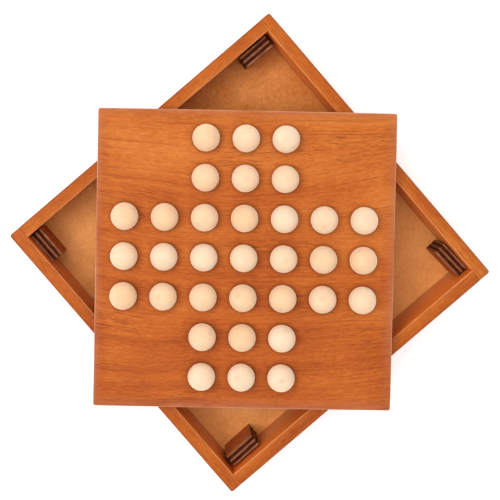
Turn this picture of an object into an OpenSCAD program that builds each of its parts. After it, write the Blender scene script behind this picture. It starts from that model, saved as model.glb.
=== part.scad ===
// Marble solitaire set: a square play board with 33 wooden balls, lying turned
// across the rim of the open square tray that holds it when it is put away.
// The origin is on the table, under the middle of the board and so of the whole
// set. +Z is up, and the tray's walls run along X and Y.

/* [Tray] */
// Outer side of the square tray
tray_side = 190; // [185:1:210]
// Height of the walls
tray_height = 40; // [38:1:55]
// Thickness of the walls
wall_t = 7.2; // [6.6:0.2:8]
// Place of the tray's middle along X
tray_x = 4.2; // [-6:0.1:6]
// Place of the tray's middle along Y
tray_y = -0.5; // [-6:0.1:6]
// Radius of the tray's four outer corners
tray_corner_r = 1.4; // [1.2:0.1:4]
// Softening of the walls' top and bottom edges
wall_arris = 0.6; // [0.3:0.1:0.7]
// Thickness of the floor panel
panel_t = 3; // [2:0.5:4]
// Gap between the table and the floor panel
panel_lift = 2.5; // [1:0.5:4]
// Depth of the grooves that hold the floor panel
groove_depth = 3; // [2:0.5:3.5]
// Room left round the floor panel in its grooves
panel_play = 0.5; // [0.2:0.1:1]

/* [Corner blocks] */
// Length of a block, along its wall
block_length = 19; // [16:1:24]
// Width of a block, across its five plies
block_width = 7; // [5:0.5:8]
// How far the board's face lies below the rim when the board is put away on the blocks
board_drop = 0; // [0:0.5:4]

/* [Board] */
// Side of the square board
board_side = 164; // [158:1:168]
// Thickness of the board
board_t = 9; // [8:0.5:14]
// Radius of the board's upright corners
board_corner_r = 1.5; // [1.5:0.5:5]
// Softening of the board's top and bottom edges
board_arris = 0.6; // [0.4:0.1:1.4]
// Turn of the board on the tray, anticlockwise seen from above
board_turn = -41.8; // [-45:0.1:45]

/* [Cups and balls] */
// Diameter of a ball
ball_d = 15; // [14:0.5:16]
// Distance from cup to cup
pitch = 21.8; // [20:0.1:22]
// Offset of the cross of cups from the board's middle, along its rows
cross_x = -0.9; // [-2:0.1:2]
// Offset of the cross of cups from the board's middle, across its rows
cross_y = 1.3; // [-2:0.1:2]
// Depth of a cup
cup_depth = 3.5; // [2.5:0.1:4.5]
// Extra radius of a cup over its ball
cup_ease = 0.5; // [0.2:0.1:1]
// Softening of a cup's mouth
cup_arris = 0.4; // [0.2:0.1:0.5]

/* [Brads] */
// Diameter of the headless brads in the tray's corners
brad_d = 1.2; // [1:0.1:1.6]
// Length of a brad
brad_length = 20; // [16:1:25]
// Depth of a brad below the face of the wall
brad_sink = 1; // [0.5:0.1:2]

/* [Hidden] */
inner_side = tray_side - 2 * wall_t;
floor_top = panel_lift + panel_t;
block_height = tray_height - board_drop - board_t - floor_top;
groove_side = inner_side + 2 * groove_depth;
panel_side = groove_side - 2 * panel_play;

// Each butted wall fills the gap between the two through walls, less a hair at its upright edges
joint_r = 0.8;
butt_r = 0.7;

// Heights of the two brads in each corner
brad_levels = [12, 30];
brad_y = (tray_side - wall_t) / 2;

// The blocks are glued in by hand: each corner's gap from the wall beside the block, its gap from
// the next wall at the block's end, and its skew. Corners count clockwise from the back left.
corners = ["back_left", "back_right", "front_right", "front_left"];
block_gaps = [0.3, 1.0, 0.8, 1.3];
block_end_gaps = [0.5, 1.9, 0.8, 2.2];
block_skews = [0, -0.7, 2.2, 0.8];
block_corner_r = 0.5;
block_arris = 0.3;

// The board rests on the rim, and the balls in their cups, with a hair's clearance
rest_gap = 0.05;
board_base = tray_height + rest_gap;
cup_r = ball_d / 2 + cup_ease;
cup_mouth_r = sqrt(cup_r ^ 2 - (cup_r - cup_depth) ^ 2);
ball_rise = ball_d / 2 - cup_depth + rest_gap;

// The cross of cups, as rows from the back and columns from the left of the board, and each
// cup's mouth on the board's own axes
cells = [for (row = [1:7]) for (column = [1:7])
    if (abs(row - 4) < 2 || abs(column - 4) < 2) [row, column]];

function cell_place(cell) = [(cell[1] - 4) * pitch + cross_x, (4 - cell[0]) * pitch + cross_y, board_t];
function ball_name(cell) = str("ball_row", cell[0], "_col", cell[1]);
function block_name(corner) = str("block_", corners[corner]);

rim_wood = "#c4692f";
floor_wood = "#c67a45";
block_wood = "#5c3021";
board_wood = "#cb6d38";
ball_wood = "#fbdcb4";
steel = "silver";

// An upright post on the origin, its two ends drawn in by arris
module softened_post(r, height, arris) {
    translate([0, 0, arris])
        cylinder(r = r, h = height - 2 * arris, $fn = 24);
    cylinder(r = r - arris, h = height, $fn = 24);
}

// A block standing on Z = 0 and centred on X and Y. Its upright corners are rounded to back_r on
// the +Y side and to front_r on the -Y side, and its top and bottom edges are softened by arris.
module softened_block(size, back_r, front_r, arris) {
    hull()
        for (end = [-1, 1], side = [-1, 1]) {
            r = side > 0 ? back_r : front_r;
            translate([end * (size[0] / 2 - r), side * (size[1] / 2 - r), 0])
                softened_post(r, size[2], arris);
        }
}

// A wall at the back of the tray, its outer face on +Y
module wall_blank(length, outer_r, inner_r) {
    translate([0, (tray_side - wall_t) / 2, 0])
        softened_block([length, wall_t, tray_height], outer_r, inner_r, wall_arris);
}

// The space that the grooves and the room between the walls leave for the floor panel
module groove_space() {
    translate([-groove_side / 2, -groove_side / 2, panel_lift])
        cube([groove_side, groove_side, panel_t]);
}

module brads() {
    for (side = [-1, 1], end = [-1, 1], level = brad_levels)
        translate([side * (tray_side / 2 - brad_sink), end * brad_y, level])
            rotate([0, -90 * side, 0])
                cylinder(d = brad_d, h = brad_length, $fn = 24);
}

// Puts a shape drawn about the tray's own middle where the tray stands
module tray_place() {
    translate([tray_x, tray_y, 0])
        children();
}

// A wall that runs the tray's full length: its groove stops short of the ends
module through_wall(quarter_turns) {
    color(rim_wood)
        tray_place()
            difference() {
                rotate([0, 0, 90 * quarter_turns])
                    wall_blank(tray_side, tray_corner_r, joint_r);
                groove_space();
                brads();
            }
}

// A wall butted between the two through walls
module butted_wall(quarter_turns) {
    color(rim_wood)
        tray_place()
            difference() {
                rotate([0, 0, 90 * quarter_turns])
                    wall_blank(inner_side, butt_r, butt_r);
                groove_space();
                brads();
            }
}

module left_wall() {
    through_wall(1);
}

module right_wall() {
    through_wall(-1);
}

module front_wall() {
    butted_wall(2);
}

module back_wall() {
    butted_wall(0);
}

module floor_panel() {
    color(floor_wood)
        tray_place()
            translate([-panel_side / 2, -panel_side / 2, panel_lift])
                cube([panel_side, panel_side, panel_t]);
}

module corner_brads() {
    color(steel)
        tray_place()
            brads();
}

// A block of plywood on edge in a corner of the tray, long way along the wall beside it
module corner_block(corner) {
    from_middle = inner_side / 2 - block_gaps[corner] - block_width / 2;
    from_end = inner_side / 2 - block_end_gaps[corner] - block_length / 2;
    color(block_wood)
        tray_place()
            rotate([0, 0, -90 * corner])
                translate([-from_middle, from_end, floor_top])
                    rotate([0, 0, block_skews[corner]])
                        softened_block([block_width, block_length, block_height],
                            block_corner_r, block_corner_r, block_arris);
}

// Puts a shape drawn on the board's own axes, Z = 0 at its underside, where the board lies
module board_place() {
    translate([0, 0, board_base])
        rotate([0, 0, board_turn])
            children();
}

// A cup for one ball, its mouth at Z = 0
module cup() {
    translate([0, 0, cup_r - cup_depth])
        sphere(r = cup_r, $fn = 64);
    translate([0, 0, -cup_arris])
        cylinder(r1 = cup_mouth_r - cup_arris, r2 = cup_mouth_r + cup_arris, h = 2 * cup_arris, $fn = 64);
}

module play_board() {
    color(board_wood)
        board_place()
            difference() {
                softened_block([board_side, board_side, board_t],
                    board_corner_r, board_corner_r, board_arris);
                for (cell = cells)
                    translate(cell_place(cell))
                        cup();
            }
}

module ball(cell) {
    color(ball_wood)
        board_place()
            translate(cell_place(cell) + [0, 0, ball_rise])
                sphere(d = ball_d, $fn = 64);
}

left_wall();
right_wall();
front_wall();
back_wall();
floor_panel();
corner_brads();
play_board();
for (corner = [0:3])
    corner_block(corner);
for (cell = cells)
    ball(cell);
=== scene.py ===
"""Marble solitaire set: a wooden board with 33 pale balls, lying turned on its open storage tray.

Every piece is drawn in metres about its own middle, with X along its grain, and stands where the
CAD frame has the node that it replaces.
"""
import math
import random

import bmesh
import bpy
import numpy as np
from mathutils import Euler, Matrix, Vector, noise


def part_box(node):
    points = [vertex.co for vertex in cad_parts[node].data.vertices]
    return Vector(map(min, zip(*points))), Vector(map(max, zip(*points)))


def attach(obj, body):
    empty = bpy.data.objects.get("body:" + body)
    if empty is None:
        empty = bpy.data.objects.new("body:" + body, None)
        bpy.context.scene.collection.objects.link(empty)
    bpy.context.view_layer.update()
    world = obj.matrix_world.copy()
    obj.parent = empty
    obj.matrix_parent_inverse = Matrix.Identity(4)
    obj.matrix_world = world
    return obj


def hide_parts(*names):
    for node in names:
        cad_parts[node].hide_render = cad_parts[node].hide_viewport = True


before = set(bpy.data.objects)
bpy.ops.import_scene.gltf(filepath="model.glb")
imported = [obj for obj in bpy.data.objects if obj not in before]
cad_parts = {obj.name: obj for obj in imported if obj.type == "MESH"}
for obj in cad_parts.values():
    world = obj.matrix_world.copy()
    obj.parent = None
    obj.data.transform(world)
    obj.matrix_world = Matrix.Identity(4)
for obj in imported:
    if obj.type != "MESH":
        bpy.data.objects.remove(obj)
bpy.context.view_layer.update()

MM = 0.001
HAIR = 0.01 * MM  # a step too small to see

# Camera: a long lens over the set, looking almost straight down
CAMERA_PLACE = Vector((20.5, 73.1, 692.2)) * MM
CAMERA_TURN = Euler([math.radians(a) for a in (-1.728, -0.658, -40.632)])
CAMERA_NEAR, CAMERA_FAR = 0.01, 50.0
LENS_MM = 84.65
CAMERA_SHIFT = (0.10, -0.16)

# A pale floor under a white sky
FLOOR_HALF_SIDE = 8.0
FLOOR_DEPTH = 0.1 * MM
FLOOR_GLOW = 0.30
SKY_STRENGTH = 0.78

# How strongly light falls, as a multiple of a surface's own colour: on faces that look up in the
# open, on those down in the tray, and on the blocks' upright faces. Colours set for the last two
# come out lighter than the same wood in the open: painted light
LIT = 1.30
LIT_INSIDE = 0.70
LIT_UPRIGHT = 1.00
GLARE = 0.013  # sheen added to every colour

# Softened edges and corners, as radii
TRAY_ARRIS = 0.8 * MM
TRAY_INNER_ARRIS = 0.6 * MM
TRAY_CORNER = 1.4 * MM
JOINT_ARRIS = 0.25 * MM
LEAST_ARRIS = 0.04 * MM
ARRIS_STEPS = 4
BOARD_ARRIS = 0.6 * MM
BOARD_CORNER = 1.5 * MM
PANEL_ARRIS = 0.2 * MM
PANEL_CORNER = 0.6 * MM
PLY_ARRIS = 0.16 * MM
PLY_CORNER = 0.5 * MM

# Walls: each one's shade from 0, dark, to 1, how far the edges at their joints are paled, by wear
# and a painted highlight, as a share of the open ones, the room round the floor panel in its
# grooves, and the distance between sections
WALL_TINTS = {"left_wall": 0.38, "right_wall": 0.80, "front_wall": 0.50, "back_wall": 0.58}
JOINT_WEAR_AND_HIGHLIGHT = 0.4
GROOVE_ROOM = 0.5 * MM
STATION_STEP = 8 * MM

# Cups in the board
CUP_RADIUS = 8.0 * MM
CUP_DEPTH = 3.5 * MM
CUP_ARRIS = 0.5 * MM
CUP_ARRIS_DROP = 0.45 * CUP_ARRIS  # how far the softened mouth goes down
CUP_STAIN_AND_SHADE = -0.65  # as wear: dirt, stain and painted shade in the cups and at their mouths
STAIN_AND_SHADE_RIM = 9.2 * MM  # from a cup's axis, to where most stain and painted shade has faded
STAIN_AND_SHADE_FADED = -0.10
CELL_STEPS = 12  # vertices to a side of the square cell round a cup

# How far sanding and handling have taken the surfaces down from true
UNEVEN = 0.05 * MM

# Balls, as shares of the radius: how far out of round, where the flat at a pole lies, and where
# the end grain round it is faintest and over how much it grows
OUT_OF_ROUND = 0.004
POLE_FLAT = 0.9925
END_GRAIN_FROM = 0.962
END_GRAIN_FADE = 0.03

# Widths of a block's plies, as shares of the whole, the glue lines between them, how far the cross
# plies' edges lie back, and how much further a ply may be drawn in or worn
PLY_SHARES = (0.16, 0.26, 0.16, 0.26, 0.16)
GLUE_LINE = 0.02 * MM
PLY_BACK = 0.10 * MM
PLY_STRAY = 0.08 * MM
PLY_ROUGH = 0.006  # as a share of its size
PLY_WAVES = 900  # to the metre

# Dabs of filler over the brads, as (height above the wall's face, share of the radius)
BRAD_SINK = 1.0 * MM
FILLER_RADIUS = 1.1 * MM
FILLER_PROFILE = ((-0.30 * MM, 0.90), (-0.02 * MM, 1.0), (0.02 * MM, 0.9), (0.03 * MM, 0.5))


# ---------------------------------------------------------------- shader nodes

def add(tree, kind, inputs=(), **settings):
    """A new shader node. inputs is a dict of socket name or number to a value or another socket."""
    node = tree.nodes.new("ShaderNode" + kind)
    for name, value in settings.items():
        setattr(node, name, value)
    for key, value in dict(inputs).items():
        socket = node.inputs[key]
        if isinstance(value, bpy.types.NodeSocket):
            tree.links.new(value, socket)
        else:
            socket.default_value = value
    return node


def maths(tree, operation, *values, clamp=False):
    inputs = dict(enumerate(values))
    return add(tree, "Math", inputs, operation=operation, use_clamp=clamp).outputs[0]


def vector_maths(tree, operation, *values):
    return add(tree, "VectorMath", dict(enumerate(values)), operation=operation).outputs[0]


def along_line(tree, coords, line):
    """How far coords lie along line, a vector in X and Y, times its length."""
    inputs = {0: coords, 1: (*line, 0.0)}
    return add(tree, "VectorMath", inputs, operation="DOT_PRODUCT").outputs["Value"]


def layered(tree, *layers):
    """Adds up (share, noise) pairs, each noise swinging about 0.5, into one that does the same."""
    total = 0.5 - 0.5 * sum(share for share, _ in layers)
    for share, value in layers:
        total = maths(tree, "MULTIPLY_ADD", value, share, total)
    return total


def blend(tree, share, under, over, most=1.0):
    """Colour under with the fixed colour over laid on it, by share times most."""
    share = maths(tree, "MULTIPLY", share, most)
    return add(tree, "Mix", {0: share, 6: under, 7: (*over, 1)}, data_type="RGBA").outputs[2]


def ramp(tree, value, *stops):
    """Colours along value, as (place, colour) stops."""
    node = add(tree, "ValToRGB", {0: value})
    scale = node.color_ramp
    while len(scale.elements) < len(stops):
        scale.elements.new(0.5)
    for element, (place, colour) in zip(scale.elements, stops):
        element.position = place
        element.color = (*colour, 1)
    return node.outputs[0]


def shaded(tree, tone, tones, reach=0.30):
    """Colour by tone, which swings about 0.5: tones are the dark, middle and light colours."""
    dark, middle, light = tones
    return ramp(tree, tone, (0.50 - reach, dark), (0.50, middle), (0.50 + reach, light))


def between(tree, value, low, high):
    """0 where value is at or under low, 1 at or over high."""
    return add(tree, "MapRange", {0: value, 1: low, 2: high}).outputs[0]


def streaks(tree, coords, along, across, seed, detail=2.0, rough=0.5):
    """Noise drawn out along X: along and across are the lengths of its spots."""
    stretch = (1 / along, 1 / across, 1 / across)
    place = vector_maths(tree, "MULTIPLY_ADD", coords, stretch, (seed, seed * 1.7, seed * 0.6))
    values = {"Vector": place, "Scale": 1.0, "Detail": detail, "Roughness": rough}
    return add(tree, "TexNoise", values).outputs[0]


def attribute(tree, name):
    return add(tree, "Attribute", attribute_name=name).outputs["Fac"]


def piece_coords(tree):
    """The piece's own coordinates, and those moved by its seed so that no two show one grain."""
    raw = add(tree, "TexCoord").outputs["Object"]
    return raw, vector_maths(tree, "ADD", raw, attribute(tree, "seed"))


def seen(red, green, blue, lit=LIT):
    """The colour of a surface that shows as this sRGB colour in light of strength lit."""
    def linear(v):
        v /= 255
        return v / 12.92 if v <= 0.04045 else ((v + 0.055) / 1.055) ** 2.4
    return tuple(max(linear(v) - GLARE, 0.002) / lit for v in (red, green, blue))


def shades(*tones, lit=LIT):
    """Several such colours."""
    return [seen(*tone, lit) for tone in tones]


def new_material(name):
    material = bpy.data.materials.new(name)
    material.use_nodes = True
    tree = material.node_tree
    tree.nodes.clear()
    return material, tree


def close_material(tree, colour, rough, height, depth, **fixed):
    """Ends a material in one Principled shader. fixed are constants on the shader's own sockets."""
    bump = add(tree, "Bump", {"Height": height, "Distance": depth}).outputs[0]
    inputs = {"Base Color": colour, "Roughness": rough, "Normal": bump}
    inputs.update({name.replace("_", " "): value for name, value in fixed.items()})
    shader = add(tree, "BsdfPrincipled", inputs)
    add(tree, "OutputMaterial", {"Surface": shader.outputs[0]})


# ---------------------------------------------------------------- materials

def swayed(tree, coords, sway):
    """Coordinates whose grain strays sideways by up to about sway / 2."""
    drift = streaks(tree, coords, 160 * MM, 90 * MM, seed=3.1, detail=1.0)
    aside = maths(tree, "MULTIPLY", maths(tree, "SUBTRACT", drift, 0.5), sway)
    return vector_maths(tree, "ADD", coords, add(tree, "CombineXYZ", {1: aside}).outputs[0])


def late_wood(tree, coords, figure):
    """Thin lines that come and go."""
    lines = streaks(tree, coords, 70 * MM, figure * 0.06, seed=13.0)
    return between(tree, lines, 0.58, 0.72)


def open_pores(tree, coords):
    """Short dashes, in drifts."""
    dashes = streaks(tree, coords, 9.0 * MM, 0.32 * MM, seed=17.0, detail=1.0)
    drifts = streaks(tree, coords, 50 * MM, 14 * MM, seed=19.0, detail=1.0)
    crowd = maths(tree, "MULTIPLY_ADD", drifts, 0.45, dashes)
    return between(tree, crowd, 0.86, 0.95)


def far_out(tree, coords, start, end):
    """0 on the middle of a wide face, out to start, and 1 from end to its edges."""
    x, y = add(tree, "SeparateXYZ", {0: vector_maths(tree, "ABSOLUTE", coords)}).outputs[:2]
    return between(tree, maths(tree, "MAXIMUM", x, y), start, end)


def sawn_ends(tree):
    """1 on the faces that cut across the grain."""
    normal = add(tree, "TexCoord").outputs["Normal"]
    across = add(tree, "SeparateXYZ", {0: normal}).outputs[0]
    return between(tree, maths(tree, "ABSOLUTE", across), 0.85, 0.98)


def edge_wear_and_light(tree, coords):
    """How far edges are rubbed pale, with a painted highlight, in patches, where the value is over 0,
    and darkened by dirt and painted shade where it is under 0.
    """
    wear_and_painted_light = attribute(tree, "wear_and_painted_light")
    patchy = between(tree, streaks(tree, coords, 18 * MM, 18 * MM, seed=23.0), 0.30, 0.60)
    patchy = maths(tree, "MULTIPLY_ADD", patchy, 0.55, 0.45)
    rubbed_and_highlit = maths(tree, "POWER", maths(tree, "MAXIMUM", wear_and_painted_light, 0.0), 1.5)
    dirt_and_shade = maths(tree, "MAXIMUM", maths(tree, "MULTIPLY", wear_and_painted_light, -1.0), 0.0)
    return maths(tree, "MULTIPLY", rubbed_and_highlit, patchy), dirt_and_shade


def wood(name, tones, worn, grime_and_shade, figure, sway, painted_shade_slope=(0.0, 0.0), margin=None):
    """Stained wood with its grain along X.

    tones are the dark, middle and light colours, then the colours of edges rubbed pale, with a
    painted highlight, and of dirty edges, with painted shade. figure is the width of the broad bands,
    sway how far the grain strays sideways, the slope how the tone grows per metre of X and Y, as
    painted shade across the face, and margin the (start, end) of the darker border.
    """
    material, tree = new_material(name)
    raw, moved = piece_coords(tree)
    bent = swayed(tree, moved, sway)
    bands = streaks(tree, bent, 500 * MM, figure, seed=1.0)
    lines = streaks(tree, bent, 110 * MM, figure * 0.15, seed=5.0, detail=3.0, rough=0.6)
    fibres = streaks(tree, bent, 6.0 * MM, 0.50 * MM, seed=9.0, rough=0.6)
    mottle = streaks(tree, bent, 3.2 * MM, 1.5 * MM, seed=11.0, rough=0.6)
    clouds = streaks(tree, moved, 45 * MM, 30 * MM, seed=7.0, detail=1.0)
    tone = layered(tree, (0.34, bands), (0.20, lines), (0.34, fibres), (0.26, mottle),
                   (0.30, clouds), (0.30, attribute(tree, "tint")))
    # Painted shade: the tone grows across the face along the slope
    tone = maths(tree, "ADD", tone, along_line(tree, raw, painted_shade_slope))
    colour = shaded(tree, tone, tones)

    # Darker stain in the late wood, in the pores, near the edges of a wide face and on sawn ends
    dark = tones[0]
    pores = open_pores(tree, bent)
    colour = blend(tree, late_wood(tree, bent, figure), colour, dark, most=0.45)
    colour = blend(tree, pores, colour, [c * 0.55 for c in dark], most=0.55)
    if margin:
        colour = blend(tree, far_out(tree, raw, *margin), colour, dark, most=0.45)
    colour = blend(tree, sawn_ends(tree), colour, dark, most=0.35)

    # Edges rubbed pale by wear, with a painted highlight, and darkened by dirt and by painted shade
    rubbed_and_highlit, dirt_and_shade = edge_wear_and_light(tree, moved)
    colour = blend(tree, rubbed_and_highlit, colour, worn)
    colour = blend(tree, dirt_and_shade, colour, grime_and_shade, most=0.8)

    gloss = layered(tree, (0.15, clouds), (0.20, fibres))
    gloss = maths(tree, "MULTIPLY_ADD", pores, 0.15, maths(tree, "SUBTRACT", gloss, 0.06), clamp=True)
    height = maths(tree, "MULTIPLY_ADD", fibres, 0.30, maths(tree, "MULTIPLY", pores, -1.0))
    close_material(tree, colour, gloss, height, 0.025 * MM, Specular_IOR_Level=0.22)
    return material


def panel_wood(name, tones, painted_shade_span):
    """A thin fibre panel with fine flecks, with painted shade darker towards its corner at +X and +Y.

    The span given is (start, end), how far out towards that corner the painted shade starts and is
    full.
    """
    material, tree = new_material(name)
    raw, moved = piece_coords(tree)
    clouds = streaks(tree, moved, 14 * MM, 12 * MM, seed=2.0)
    flecks = streaks(tree, moved, 2.2 * MM, 1.6 * MM, seed=4.0, detail=3.0, rough=0.6)
    specks = streaks(tree, moved, 0.9 * MM, 0.8 * MM, seed=6.0)
    tone = layered(tree, (0.30, clouds), (0.32, flecks), (0.25, specks))
    # Painted shade: darker towards the corner at +X and +Y
    painted_shade = between(tree, along_line(tree, raw, (0.7071, 0.7071)), *painted_shade_span)
    tone = maths(tree, "MULTIPLY_ADD", painted_shade, -0.16, tone)
    gloss = layered(tree, (0.25, flecks))
    close_material(tree, shaded(tree, tone, tones), gloss, flecks, 0.03 * MM, Specular_IOR_Level=0.22)
    return material


def ball_wood(name, tones, knot):
    """Pale turned hardwood. Each ball has its own tint and grain, and end grain at its two poles."""
    material, tree = new_material(name)
    _, moved = piece_coords(tree)
    rings = streaks(tree, moved, 30 * MM, 1.6 * MM, seed=1.0)
    fibres = streaks(tree, moved, 4.5 * MM, 0.22 * MM, seed=3.0, rough=0.6)
    clouds = streaks(tree, moved, 10 * MM, 6.0 * MM, seed=5.0)
    tone = layered(tree, (0.22, rings), (0.30, fibres), (0.22, clouds),
                   (0.30, attribute(tree, "tint")))
    colour = shaded(tree, tone, tones, reach=0.25)
    flecks = streaks(tree, moved, 1.6 * MM, 0.16 * MM, seed=11.0, detail=1.0)
    colour = blend(tree, between(tree, flecks, 0.66, 0.74), colour, tones[0], most=0.25)
    end_grain = maths(tree, "MULTIPLY", attribute(tree, "pole"), between(tree, fibres, 0.30, 0.70))
    colour = blend(tree, end_grain, colour, knot, most=0.6)
    gloss = layered(tree, (0.20, clouds))
    close_material(tree, colour, gloss, fibres, 0.010 * MM, Specular_IOR_Level=0.25,
                   Subsurface_Weight=0.9, Subsurface_Radius=(1.0, 0.55, 0.30),
                   Subsurface_Scale=8 * MM, Sheen_Weight=1.0, Sheen_Roughness=0.45,
                   Sheen_Tint=(1.0, 0.80, 0.58, 1))
    return material


def ply_wood(name, tones):
    """Dark-stained plywood, its sawn edges rough and blotchy."""
    material, tree = new_material(name)
    _, moved = piece_coords(tree)
    saw = streaks(tree, moved, 4.0 * MM, 0.5 * MM, seed=2.0, detail=3.0, rough=0.6)
    blotches = streaks(tree, moved, 2.8 * MM, 2.0 * MM, seed=4.0, rough=0.6)
    tone = layered(tree, (0.60, saw), (0.50, blotches))
    gloss = maths(tree, "ADD", layered(tree, (0.20, blotches)), 0.20)
    close_material(tree, shaded(tree, tone, tones), gloss, saw, 0.05 * MM, Specular_IOR_Level=0.12)
    return material


def brushed_steel(name):
    material, tree = new_material(name)
    _, moved = piece_coords(tree)
    draw = streaks(tree, moved, 10 * MM, 0.1 * MM, seed=1.0)
    colour = ramp(tree, draw, (0.3, (0.42, 0.42, 0.44)), (0.7, (0.62, 0.62, 0.64)))
    gloss = maths(tree, "MULTIPLY_ADD", draw, 0.25, 0.25)
    close_material(tree, colour, gloss, draw, 0.01 * MM, Metallic=1.0)
    return material


def floor_white(name):
    material, tree = new_material(name)
    coords = add(tree, "TexCoord").outputs["Object"]
    grain = add(tree, "TexNoise", {"Vector": coords, "Scale": 40.0, "Detail": 2.0}).outputs[0]
    colour = ramp(tree, grain, (0.0, (0.93, 0.93, 0.93)), (1.0, (0.96, 0.96, 0.96)))
    close_material(tree, colour, 0.9, grain, 0.01 * MM,
                   Emission_Color=(1, 1, 1, 1), Emission_Strength=FLOOR_GLOW)
    return material


# ---------------------------------------------------------------- placing pieces

def placed(node, turn=None):
    """Middle, turn about Z and size of a CAD node, along its own sides: X is its long side."""
    points = np.array([v.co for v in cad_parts[node].data.vertices])
    if turn is None:
        lean = points[:, :2] - points[:, :2].mean(axis=0)
        long_side = np.linalg.eigh(lean.T @ lean)[1][:, 1]
        turn = math.atan2(long_side[1], long_side[0])
    along = np.array((math.cos(turn), math.sin(turn)))
    across = np.array((-along[1], along[0]))
    sides = np.stack([points[:, :2] @ along, points[:, :2] @ across, points[:, 2]])
    low, high = sides.min(axis=1), sides.max(axis=1)
    half = (low + high) / 2
    middle = Vector((*(along * half[0] + across * half[1]), half[2]))
    return middle, turn, Vector(high - low)


def middle_of(node):
    low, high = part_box(node)
    return (Vector(low) + Vector(high)) / 2


def at(middle, turn):
    return Matrix.Translation(middle) @ Matrix.Rotation(turn, 4, "Z")


def finish_piece(name, bm, place, body, node, materials, seed, tint=0.5):
    """Makes the piece's object. seed picks its stretch of grain; tint, from 0 to 1, its shade."""
    mesh = bpy.data.meshes.new(name)
    layers = bm.verts.layers.float
    for vert in bm.verts:
        vert[layers["seed"]] = seed
        vert[layers["tint"]] = tint
    bmesh.ops.recalc_face_normals(bm, faces=bm.faces)
    for face in bm.faces:
        face.smooth = True
    bm.to_mesh(mesh)
    bm.free()
    for material in materials:
        mesh.materials.append(material)
    piece = bpy.data.objects.new(name, mesh)
    bpy.context.scene.collection.objects.link(piece)
    piece.matrix_world = place
    normals = piece.modifiers.new("normals", "WEIGHTED_NORMAL")
    normals.keep_sharp = True
    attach(piece, body)
    if node:
        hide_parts(node)
    return piece


# ---------------------------------------------------------------- mesh work

def new_shape():
    """An empty mesh with the values that the materials read, one per vertex."""
    bm = bmesh.new()
    for name in ("seed", "wear_and_painted_light", "pole", "tint"):
        bm.verts.layers.float.new(name)
    return bm


def arc(centre, radius, start, end, steps):
    """Points on a circle from one angle to another, in degrees."""
    angles = [math.radians(start + (end - start) * k / steps) for k in range(steps + 1)]
    return [(centre[0] + radius * math.cos(a), centre[1] + radius * math.sin(a)) for a in angles]


def spread(low, high, step):
    """Even places from low to high, about step apart."""
    count = max(1, round((high - low) / step))
    return [low + (high - low) * k / count for k in range(count + 1)]


def after(loop):
    """The next vertex round a closed loop, for each of its vertices."""
    return loop[1:] + loop[:1]


def bridge(bm, near, far):
    """A band of four-sided faces between two closed loops of as many vertices."""
    for corners in zip(near, after(near), after(far), far):
        bm.faces.new(corners)


def sweep(bm, stations):
    """Skins a row of closed sections, each a list of as many points, and caps both ends."""
    rows = [[bm.verts.new(point) for point in section] for section in stations]
    for near, far in zip(rows, rows[1:]):
        bridge(bm, near, far)
    bm.faces.new(rows[0])
    bm.faces.new(rows[-1])


def absorb(bm, part):
    """Moves all of the mesh part into bm and returns its faces there."""
    start = len(bm.faces)
    mesh = bpy.data.meshes.new("part")
    part.to_mesh(mesh)
    part.free()
    bm.from_mesh(mesh)
    bpy.data.meshes.remove(mesh)
    bm.faces.ensure_lookup_table()
    return bm.faces[start:]


def mark_arrises(bm):
    """Stores how far each vertex is round an edge: 0 on a flat, 1 in the middle of an arris."""
    bm.normal_update()
    layer = bm.verts.layers.float["wear_and_painted_light"]
    for vert in bm.verts:
        # The second longest part of the normal, which is 0.7 halfway round
        slant = sorted(abs(c) for c in vert.normal)[1]
        vert[layer] = min(1.0, slant / 0.70)


def wave_at(point):
    """Smooth noise about 0.5, mostly from 0 to 1, one wave to a unit."""
    return 0.5 + 0.5 * noise.noise(point)


def take_down(bm, depth, scale=60.0):
    """Uneven sanding: moves each vertex inwards by up to depth, in slow waves."""
    bm.normal_update()
    for vert in bm.verts:
        vert.co -= vert.normal * depth * wave_at(vert.co * scale)


def rounded_outline(size_x, size_y, radius, steps):
    """Points round a rectangle with rounded corners, anticlockwise from the +X side."""
    points = []
    for quarter, (sx, sy) in enumerate(((1, 1), (-1, 1), (-1, -1), (1, -1))):
        centre = (sx * (size_x / 2 - radius), sy * (size_y / 2 - radius))
        points += arc(centre, radius, 90 * quarter, 90 * quarter + 90, steps)
    return points


def slab_shell(bm, size, corner, arris, rounds=ARRIS_STEPS, corner_steps=6, top=True):
    """The outside of a flat slab, its upright corners and its edges rounded. Returns its top loop."""
    base = -size.z / 2
    turns = [math.radians(90 * k / rounds) for k in range(rounds + 1)]
    lower = [(base + arris * (1 - math.sin(a)), arris * (1 - math.cos(a))) for a in reversed(turns)]
    upper = [(-z, inset) for z, inset in reversed(lower)]
    rows = []
    for z, inset in lower + upper:
        sides = (size.x - 2 * inset, size.y - 2 * inset)
        outline = rounded_outline(*sides, corner - inset, corner_steps)
        rows.append([bm.verts.new((x, y, z)) for x, y in outline])
    for near, far in zip(rows, rows[1:]):
        bridge(bm, near, far)
    bm.faces.new(rows[0])
    if top:
        bm.faces.new(rows[-1])
    return rows[-1]


# ---------------------------------------------------------------- the tray and its blocks

def wall_section(x, size, inset_out, inset_in, inset_z, groove):
    """A wall's section at x, outer side on +Y, with a panel groove groove = (low, high, depth)."""
    half_y, half_z = size.y / 2, size.z / 2
    out, into = half_y - inset_out, -half_y + inset_in
    top, base = half_z - inset_z, -half_z + inset_z
    r_out = max(TRAY_ARRIS - inset_z, LEAST_ARRIS)
    r_in = max(TRAY_INNER_ARRIS - inset_z, LEAST_ARRIS)
    low, high, depth = groove
    points = arc((out - r_out, top - r_out), r_out, 0, 90, ARRIS_STEPS)
    points += arc((into + r_in, top - r_in), r_in, 90, 180, ARRIS_STEPS)
    points += [(into, high), (into + depth, high), (into + depth, low), (into, low)]
    points += arc((into + r_in, base + r_in), r_in, 180, 270, ARRIS_STEPS)
    points += arc((out - r_out, base + r_out), r_out, 270, 360, ARRIS_STEPS)
    return [(x, y, z) for y, z in points]


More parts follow.
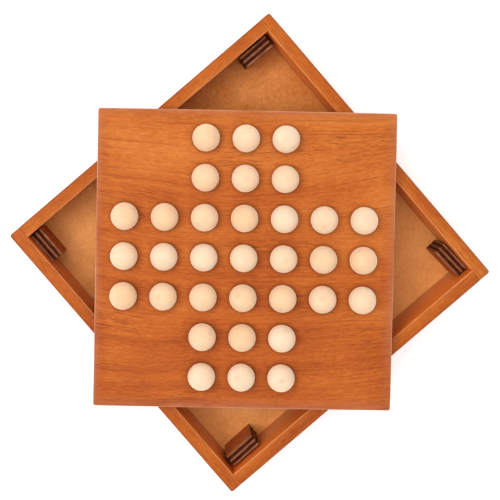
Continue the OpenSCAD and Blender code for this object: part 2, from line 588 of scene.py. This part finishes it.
def build_wall(node, tray_middle, materials, seed, tint):
    """One tray wall, with its groove. Through walls have rounded outer corners.

    materials are those of the outside and of the side that looks into the tray, that one painted
    lighter as painted light.
    """
    middle, turn, size = placed(node)
    outward = Vector((middle.x - tray_middle.x, middle.y - tray_middle.y))
    if outward.dot(Vector((-math.sin(turn), math.cos(turn)))) < 0:
        turn += math.pi
    panel_low, panel_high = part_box("floor_panel")
    low, high = panel_low[2] - middle.z, panel_high[2] - middle.z
    inner_side = 2 * outward.length - size.y
    depth = (panel_high[0] - panel_low[0] - inner_side) / 2 + GROOVE_ROOM
    through = size.x > inner_side + size.y
    corner = TRAY_CORNER if through else JOINT_ARRIS

    def station(x, turned, grooved):
        """The section at x, drawn in by the end's rounding once that has turned so far."""
        inset = corner * (1 - math.cos(turned))
        groove = (low, high, depth if grooved else 0.0)
        return wall_section(x, size, inset, min(inset, JOINT_ARRIS), min(inset, TRAY_ARRIS), groove)

    # From an end inwards: the rounding, and on a through wall the plain stretch before the groove
    half = size.x / 2
    turns = [math.radians(a) for a in (90, 67.5, 45, 22.5)]
    end = [(half - corner * (1 - math.sin(a)), a, not through) for a in turns]
    reach = half - corner
    if through:
        reach = inner_side / 2 + depth
        end += [(half - corner, 0, False), (reach + HAIR, 0, False)]
    stations = [station(-x, turned, grooved) for x, turned, grooved in end]
    stations += [station(x, 0, True) for x in spread(-reach, reach, STATION_STEP)]
    stations += [station(x, turned, grooved) for x, turned, grooved in reversed(end)]

    bm = new_shape()
    sweep(bm, stations)
    mark_arrises(bm)
    layer = bm.verts.layers.float["wear_and_painted_light"]
    # Outer arrises turn dark, painted shade; inner ones pale, wear and a painted highlight, less at
    # joints
    for vert in bm.verts:
        if vert.co.y > 0:
            vert[layer] *= -1
        elif abs(vert.co.x) > inner_side / 2:
            vert[layer] *= JOINT_WEAR_AND_HIGHLIGHT
    for face in bm.faces:
        face.material_index = 1 if face.normal.y < -0.9 else 0
    take_down(bm, UNEVEN)
    return finish_piece("wood_" + node, bm, at(middle, turn), "tray", node,
                        materials, seed, tint)


def build_panel(material, seed):
    middle, turn, size = placed("floor_panel", 0.0)
    bm = new_shape()
    slab_shell(bm, size, PANEL_CORNER, PANEL_ARRIS, rounds=2, corner_steps=3)
    return finish_piece("wood_floor_panel", bm, at(middle, turn), "tray", "floor_panel",
                        [material], seed)


def build_fillers(tray_middle, material, seed):
    """Round dabs of filler over the sunk brads, flush with the through walls."""
    points = np.array([v.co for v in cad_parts["corner_brads"].data.vertices])
    faces = ((-1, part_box("left_wall")[0][0]), (1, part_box("right_wall")[1][0]))
    bm = new_shape()
    for side, outer in faces:
        # The outer ends of the wall's four brads lie this deep, one in each of its quarters
        heads = points[np.abs(np.abs(outer - points[:, 0]) - BRAD_SINK) < 0.05 * MM]
        quarters = np.sign(heads[:, 1:] - (tray_middle.y, tray_middle.z))
        for quarter in ((-1, -1), (-1, 1), (1, -1), (1, 1)):
            head = heads[(quarters == quarter).all(axis=1)]
            _, y, z = (head.min(axis=0) + head.max(axis=0)) / 2
            rows = []
            for height, share in FILLER_PROFILE:
                x = outer + side * (height - UNEVEN)
                ring = arc((y, z), FILLER_RADIUS * share, 0, 360, 20)[:-1]
                rows.append([(x, *point) for point in ring])
            sweep(bm, rows)
    return finish_piece("wood_filler", bm, Matrix.Identity(4), "tray", None,
                        [material], seed)


def build_block(node, plies, rng):
    """A block of five plies on edge, each ply's sawn edge a little in or out of its neighbours.

    plies are the materials of the outer plies' edges, of the ones between and of the broad faces,
    the last painted lighter, as painted light.
    """
    middle, turn, size = placed(node)
    bm = new_shape()
    for k, share in enumerate(PLY_SHARES):
        y = size.y * (sum(PLY_SHARES[:k]) + share / 2 - 0.5)
        drawn_in = (PLY_BACK if k % 2 else 0.0) + rng.uniform(0.0, PLY_STRAY)
        # Drawn lying flat, then stood on edge
        ply = new_shape()
        shell = Vector((size.x - 2 * drawn_in, size.z - 2 * drawn_in, size.y * share - GLUE_LINE))
        slab_shell(ply, shell, PLY_CORNER - drawn_in, PLY_ARRIS, rounds=2, corner_steps=4)
        for vert in ply.verts:
            worn = 1 - PLY_ROUGH * wave_at(vert.co * PLY_WAVES + Vector((k * 7.0, 0, 0)))
            along, up, through = vert.co
            vert.co = (along * worn, y + through, up * worn)
        for face in absorb(bm, ply):
            face.normal_update()
            face.material_index = 2 if abs(face.normal.y) > 0.9 else k % 2
    return finish_piece("wood_" + node, bm, at(middle, turn), "tray", node,
                        plies, rng.uniform(-1, 1))


# ---------------------------------------------------------------- the board and the balls

def cup_rings():
    """(distance from the cup's axis, height over the board's face), from the mouth inwards."""
    rise = CUP_RADIUS - CUP_DEPTH
    mouth = math.sqrt(CUP_RADIUS ** 2 - rise ** 2)
    lean = math.asin(mouth / CUP_RADIUS)
    # The rounded mouth runs from the flat face to the cup's own slope
    rings = []
    for k in range(4):
        a = lean * k / 3
        out = mouth + CUP_ARRIS * (1 - math.sin(a) / math.sin(lean))
        down = CUP_ARRIS_DROP * (1 - math.cos(a)) / (1 - math.cos(lean))
        rings.append((out, -down))
    start = math.acos((rise + CUP_ARRIS_DROP) / CUP_RADIUS)
    for k in range(1, 9):
        a = start * (1 - k / 9)
        rings.append((CUP_RADIUS * math.sin(a), rise - CUP_RADIUS * math.cos(a)))
    return rings


def cell_rim(bm, x, y, z, pitch):
    """The vertices round one square cell, anticlockwise from the foot of its +X side."""
    rim = []
    for k in range(4 * CELL_STEPS):
        side, part = divmod(k, CELL_STEPS)
        run = -0.5 + part / CELL_STEPS
        right, up = [(0.5, run), (-run, 0.5), (-0.5, -run), (run, -0.5)][side]
        rim.append(bm.verts.new((x + right * pitch, y + up * pitch, z)))
    return rim


def sink_cup(bm, x, y, z, rim):
    """Fills a cell's rim with a ring of fading stain and painted shade and, within it, the cup."""
    wear_and_painted_light = bm.verts.layers.float["wear_and_painted_light"]
    rings = [(STAIN_AND_SHADE_RIM, 0.0, STAIN_AND_SHADE_FADED)]
    rings += [(out, height, CUP_STAIN_AND_SHADE) for out, height in cup_rings()]
    last = rim
    for out, height, stain_and_shade in rings:
        ring = []
        for vert in rim:
            ray = Vector((vert.co.x - x, vert.co.y - y)).normalized() * out
            ring.append(bm.verts.new((x + ray.x, y + ray.y, z + height)))
            ring[-1][wear_and_painted_light] = stain_and_shade
        bridge(bm, last, ring)
        last = ring
    bottom = bm.verts.new((x, y, z - CUP_DEPTH))
    for near, far in zip(last, after(last)):
        bm.faces.new((near, far, bottom))


def build_board(material, seed):
    """The play board: a slab with a field of square cells, each plain or sunk into a cup."""
    row = middle_of("ball_row4_col7") - middle_of("ball_row4_col1")
    pitch = row.length / 6
    middle, turn, size = placed("play_board", math.atan2(row.y, row.x))
    place = at(middle, turn)
    field = place.inverted() @ middle_of("ball_row4_col4")

    bm = new_shape()
    outer = slab_shell(bm, size, BOARD_CORNER, BOARD_ARRIS, top=False)
    mark_arrises(bm)
    take_down(bm, UNEVEN)
    face_z = size.z / 2
    for vert in outer:
        vert.co.z = face_z

    for down in range(1, 8):
        for across in range(1, 8):
            x = field.x + (across - 4) * pitch
            y = field.y + (4 - down) * pitch
            rim = cell_rim(bm, x, y, face_z, pitch)
            if f"ball_row{down}_col{across}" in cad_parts:
                sink_cup(bm, x, y, face_z, rim)
            else:
                bm.faces.new(rim)

    # Neighbouring cells share their rims, and the plain border is filled in round them
    bmesh.ops.remove_doubles(bm, verts=bm.verts, dist=HAIR)
    loose = [edge for edge in bm.edges if edge.is_boundary]
    bmesh.ops.triangle_fill(bm, edges=loose, use_beauty=True, use_dissolve=False)
    return finish_piece("wood_play_board", bm, place, "board", "play_board",
                        [material], seed)


def build_ball(node, material, rng):
    """A turned ball: a quad sphere, a little out of round, with a small flat at each pole."""
    low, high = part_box(node)
    radius = (high[2] - low[2]) / 2
    bm = new_shape()
    bmesh.ops.create_cube(bm, size=2.0)
    bmesh.ops.subdivide_edges(bm, edges=bm.edges[:], cuts=13, use_grid_fill=True)
    pole = bm.verts.layers.float["pole"]
    shape_seed = Vector([rng.uniform(-50, 50) for _ in range(3)])
    for vert in bm.verts:
        # An even spread of the cube's grid over the sphere
        x, y, z = (math.tan(c * math.pi / 4) for c in vert.co)
        ray = Vector((x, y, z)).normalized()
        out = 1 - OUT_OF_ROUND * wave_at(ray * 1.3 + shape_seed)
        out = min(out, POLE_FLAT / max(abs(ray.x), 0.01))
        vert[pole] = max(0.0, min(1.0, (abs(ray.x) - END_GRAIN_FROM) / END_GRAIN_FADE))
        vert.co = ray * radius * out
    spin = Euler([rng.uniform(-math.pi, math.pi) for _ in range(3)]).to_matrix().to_4x4()
    place = Matrix.Translation(middle_of(node)) @ spin
    return finish_piece("wood_" + node, bm, place, node, node, [material],
                        seed=rng.uniform(-1, 1), tint=rng.random())


# ---------------------------------------------------------------- stage

def build_floor():
    half = FLOOR_HALF_SIDE
    corners = [(-half, -half, 0), (half, -half, 0), (half, half, 0), (-half, half, 0)]
    mesh = bpy.data.meshes.new("floor")
    mesh.from_pydata(corners, [], [(0, 1, 2, 3)])
    mesh.materials.append(floor_white("pale_floor"))
    floor = bpy.data.objects.new("floor", mesh)
    floor.location.z = -FLOOR_DEPTH
    bpy.context.scene.collection.objects.link(floor)


def soft_light(name, right, up, height, size, watts, glossy):
    """A round softbox over the set, placed right and up as the camera sees it, aimed at the middle."""
    place = Matrix.Rotation(CAMERA_TURN.z, 3, "Z") @ Vector((right, up, height))
    data = bpy.data.lights.new(name, "AREA")
    data.shape = "DISK"
    data.size = size
    data.energy = watts
    lamp = bpy.data.objects.new(name, data)
    lamp.location = place
    lamp.rotation_euler = (-place).to_track_quat("-Z", "Y").to_euler()
    lamp.visible_glossy = glossy
    bpy.context.scene.collection.objects.link(lamp)


def build_sky():
    world = bpy.data.worlds.new("studio")
    bpy.context.scene.world = world
    world.use_nodes = True
    background = world.node_tree.nodes["Background"]
    background.inputs["Color"].default_value = (1.0, 1.0, 1.0, 1)
    background.inputs["Strength"].default_value = SKY_STRENGTH
    bpy.context.scene.view_settings.view_transform = "Standard"


def build_camera():
    data = bpy.data.cameras.new("camera")
    data.lens = LENS_MM
    data.shift_x, data.shift_y = CAMERA_SHIFT
    data.clip_start, data.clip_end = CAMERA_NEAR, CAMERA_FAR
    camera = bpy.data.objects.new("camera", data)
    camera.location = CAMERA_PLACE
    camera.rotation_euler = CAMERA_TURN
    bpy.context.scene.collection.objects.link(camera)
    bpy.context.scene.camera = camera


# ---------------------------------------------------------------- the set

build_camera()

# Board: painted shade across the face, darker towards -X and -Y; pale edges are wear and a painted
# highlight; the dark in and round the cups is dirt and painted shade
board_stain = wood(
    "stained_board", shades((148, 60, 28), (204, 107, 47), (236, 146, 70)),
    worn=seen(244, 184, 152), grime_and_shade=seen(120, 60, 34), figure=12 * MM, sway=45 * MM,
    painted_shade_slope=(0.1, 0.75), margin=(74 * MM, 84 * MM))
# Tray: pale inner edges are wear and a painted highlight, dark outer edges painted shade
tray_stain = wood(
    "stained_tray", shades((146, 58, 20), (198, 101, 40), (226, 134, 58)),
    worn=seen(255, 186, 126), grime_and_shade=seen(134, 74, 50), figure=9 * MM, sway=12 * MM)
# The tray's inner faces: the same stain painted lighter, as painted light
inside_stain_painted_light = wood(
    "stained_inside_painted_light", shades((156, 66, 22), (210, 105, 37), (230, 131, 52), lit=LIT_INSIDE),
    worn=seen(255, 186, 126), grime_and_shade=seen(150, 84, 46), figure=9 * MM, sway=12 * MM)
# The floor panel: painted lighter, as painted light, with painted shade towards one corner
fibre_panel_painted_light = panel_wood(
    "fibre_panel_painted_light", shades((160, 92, 44), (198, 134, 77), (215, 158, 102), lit=LIT_INSIDE),
    painted_shade_span=(30 * MM, 80 * MM))
pale_wood = ball_wood(
    "pale_ball", shades((253, 208, 163), (254, 220, 184), (255, 233, 208)),
    knot=seen(228, 188, 155))
face_ply = ply_wood("ply_face", shades((88, 52, 36), (152, 100, 72), (204, 152, 114)))
cross_ply = ply_wood("ply_cross", shades((42, 31, 27), (76, 42, 31), (116, 66, 45)))
# The blocks' broad faces: their ply colour painted lighter, as painted light
side_ply_painted_light = ply_wood(
    "ply_side_painted_light", shades((134, 66, 38), (178, 98, 56), (206, 128, 78), lit=LIT_UPRIGHT))

tray_low, tray_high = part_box("left_wall")[0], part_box("right_wall")[1]
tray_middle = (Vector(tray_low) + Vector(tray_high)) / 2
for number, (wall, tint) in enumerate(WALL_TINTS.items(), start=1):
    build_wall(wall, tray_middle, [tray_stain, inside_stain_painted_light], seed=0.31 * number, tint=tint)
build_panel(fibre_panel_painted_light, seed=0.17)
build_fillers(tray_middle, tray_stain, seed=0.9)
build_board(board_stain, seed=0.05)

rng = random.Random(33)
for node in sorted(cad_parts):
    if node.startswith("ball_"):
        build_ball(node, pale_wood, rng)
    elif node.startswith("block_"):
        build_block(node, (face_ply, cross_ply, side_ply_painted_light), rng)

# The brads stay as the CAD draws them
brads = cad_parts["corner_brads"].data
brads.materials.clear()
brads.materials.append(brushed_steel("brad_wire"))

build_floor()
soft_light("overhead", right=-0.30, up=0.20, height=1.24, size=1.00, watts=8.4, glossy=False)
soft_light("key", right=-0.62, up=0.03, height=1.00, size=0.45, watts=2.9, glossy=True)
build_sky()
